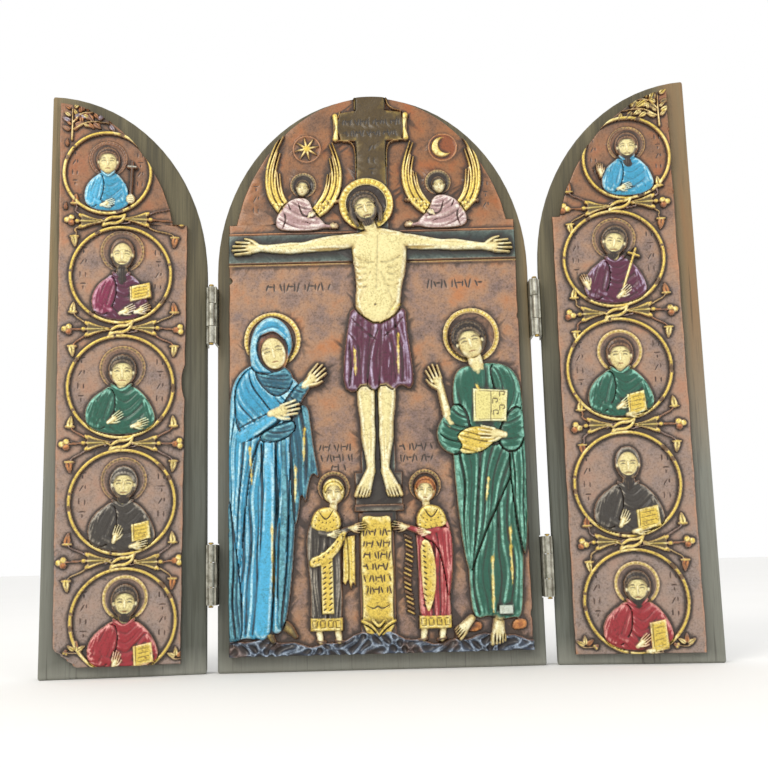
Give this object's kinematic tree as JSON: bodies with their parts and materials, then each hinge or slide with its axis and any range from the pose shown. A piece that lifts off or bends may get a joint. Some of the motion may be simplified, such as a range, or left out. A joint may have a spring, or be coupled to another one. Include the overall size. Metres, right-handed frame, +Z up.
{
  "type": "triptych altarpiece",
  "caption": "Small folding altarpiece: an arched centre board with hinged half-arched wings, each carrying a painted cast relief. It stands on its bottom edges.",
  "frame": {"origin": "middle of the centre board's underside", "axes": "+X to the viewer's right, -Y is the front that carries the reliefs, +Z up along the boards"},
  "size_m": [0.2896, 0.026, 0.258],
  "materials": {
    "stained_wood": "dark olive stain, worn satin",
    "painted_cast": "cast resin, copper-brown ground, hand-painted and antiqued",
    "hinge_steel": "dull plated steel",
    "pin_brass": "plain"
  },
  "bodies": {
    "centre": {"centre_board": "stained_wood", "centre_relief": "painted_cast", "left_lower_hinge_centre_leaf": "hinge_steel", "left_lower_hinge_pin": "pin_brass", "left_upper_hinge_centre_leaf": "hinge_steel", "left_upper_hinge_pin": "pin_brass", "right_lower_hinge_centre_leaf": "hinge_steel", "right_lower_hinge_pin": "pin_brass", "right_upper_hinge_centre_leaf": "hinge_steel", "right_upper_hinge_pin": "pin_brass"},
    "left_wing": {"left_board": "stained_wood", "left_relief": "painted_cast", "left_lower_hinge_wing_leaf": "hinge_steel", "left_upper_hinge_wing_leaf": "hinge_steel"},
    "right_wing": {"right_board": "stained_wood", "right_relief": "painted_cast", "right_lower_hinge_wing_leaf": "hinge_steel", "right_upper_hinge_wing_leaf": "hinge_steel"}
  },
  "joints": [
    {"name": "left_wing_hinge", "type": "hinge", "parent": "centre", "child": "left_wing", "pos_m": [-0.0718, -0.0125, 0.155], "axis": [0, 0, 1], "range_deg": [-8, 172]},
    {"name": "right_wing_hinge", "type": "hinge", "parent": "centre", "child": "right_wing", "pos_m": [0.0718, -0.0125, 0.155], "axis": [0, 0, -1], "range_deg": [-8, 172]}
  ]
}
